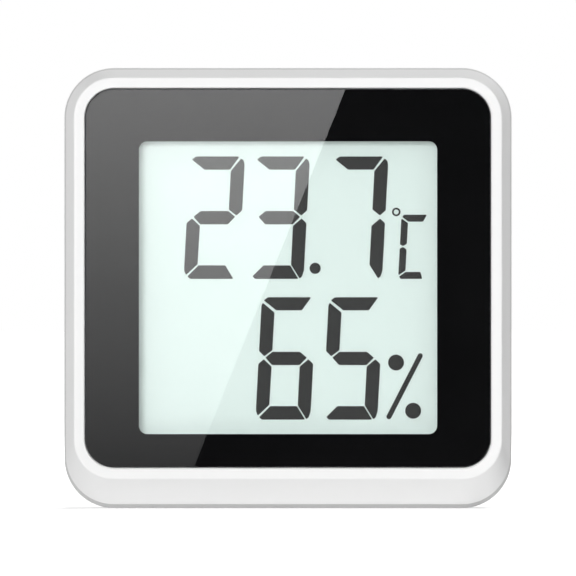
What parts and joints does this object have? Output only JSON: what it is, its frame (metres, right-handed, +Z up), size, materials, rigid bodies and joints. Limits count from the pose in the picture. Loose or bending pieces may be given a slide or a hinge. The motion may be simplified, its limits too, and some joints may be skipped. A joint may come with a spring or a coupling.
{
  "type": "temperature humidity sensor",
  "caption": "Small square battery sensor with a black-bordered display, a round cover and a fold-out stand on its back.",
  "frame": {"origin": "under the middle of the case, on the plane that it stands on", "axes": "+X right as seen from the front, +Y from the display to the back, +Z up"},
  "size_m": [0.045, 0.013, 0.0443],
  "materials": {
    "white_case": "fine moulded texture",
    "white_cover": "fine moulded texture",
    "clear_window": "polished",
    "black_print": "printed black",
    "black_foam": "closed foam",
    "polarizer_film": "satin film",
    "display_glass": "polished",
    "seal_glue": "cured glue",
    "dark_figures": "flat dark",
    "display_ground": "pale mint",
    "reflector_film": "satin silver film",
    "white_carrier": "moulded",
    "connector_rubber": "striped rubber",
    "gold_pads": "gold plated",
    "board": "green solder mask",
    "black_chip": "moulded epoxy",
    "bright_lid": "plated lid",
    "ceramic_parts": "ceramic with tinned ends",
    "copper_trace": "etched copper",
    "switch_case": "pressed cover",
    "cell_steel": "bright steel",
    "cell_plastic": "moulded",
    "contact_metal": "nickel plated spring steel",
    "pin_steel": "ground",
    "magnet_plate": "nickel plated",
    "screw_steel": "zinc plated",
    "grey_button": "moulded",
    "grey_rubber": "soft washer"
  },
  "bodies": {
    "root": {"front_shell": "white_case", "rear_shell": "white_case", "window_lens": "clear_window", "lens_mask": "black_print", "window_gasket": "black_foam", "display_front_polarizer": "polarizer_film", "display_front_glass": "display_glass", "display_seal": "seal_glue", "temperature_segments": "dark_figures", "humidity_segments": "dark_figures", "display_rear_glass": "display_ground", "display_reflector": "reflector_film", "display_carrier": "white_carrier", "rubber_connectors": "connector_rubber", "board_pads": "gold_pads", "main_board": "board", "controller_chip": "black_chip", "display_driver_chip": "black_chip", "sensor_chip": "black_chip", "clock_crystal": "bright_lid", "chip_components": "ceramic_parts", "board_antenna": "copper_trace", "unit_switch": "switch_case", "cell_can": "cell_steel", "cell_gasket": "cell_plastic", "cell_cap": "cell_steel", "positive_contact": "contact_metal", "negative_contact": "contact_metal", "kickstand_pins": "pin_steel", "magnets": "magnet_plate", "case_screws": "screw_steel", "board_screws": "screw_steel"},
    "kickstand": {"kickstand": "white_case"},
    "unit_button": {"unit_button": "grey_button", "switch_plunger": "black_chip"},
    "cover_seal": {"cover_seal_ring": "grey_rubber"},
    "battery_cover": {"battery_cover": "white_cover"}
  },
  "joints": [
    {"name": "kickstand_hinge", "type": "hinge", "parent": "root", "child": "kickstand", "pos_m": [0, 0.0056, 0.03215], "axis": [1, 0, 0], "range_deg": [0, 45]},
    {"name": "unit_button_press", "type": "slide", "parent": "root", "child": "unit_button", "axis": [0, -1, 0], "range_m": [0, 0.0005], "stiffness_N_per_m": 1500},
    {"name": "cover_lift", "type": "slide", "parent": "root", "child": "cover_seal", "axis": [0, 1, 0], "range_m": [0, 0.006]},
    {"name": "cover_turn", "type": "hinge", "parent": "cover_seal", "child": "battery_cover", "pos_m": [0, 0.0064, 0.02215], "axis": [0, -1, 0], "range_deg": [0, 35]}
  ]
}
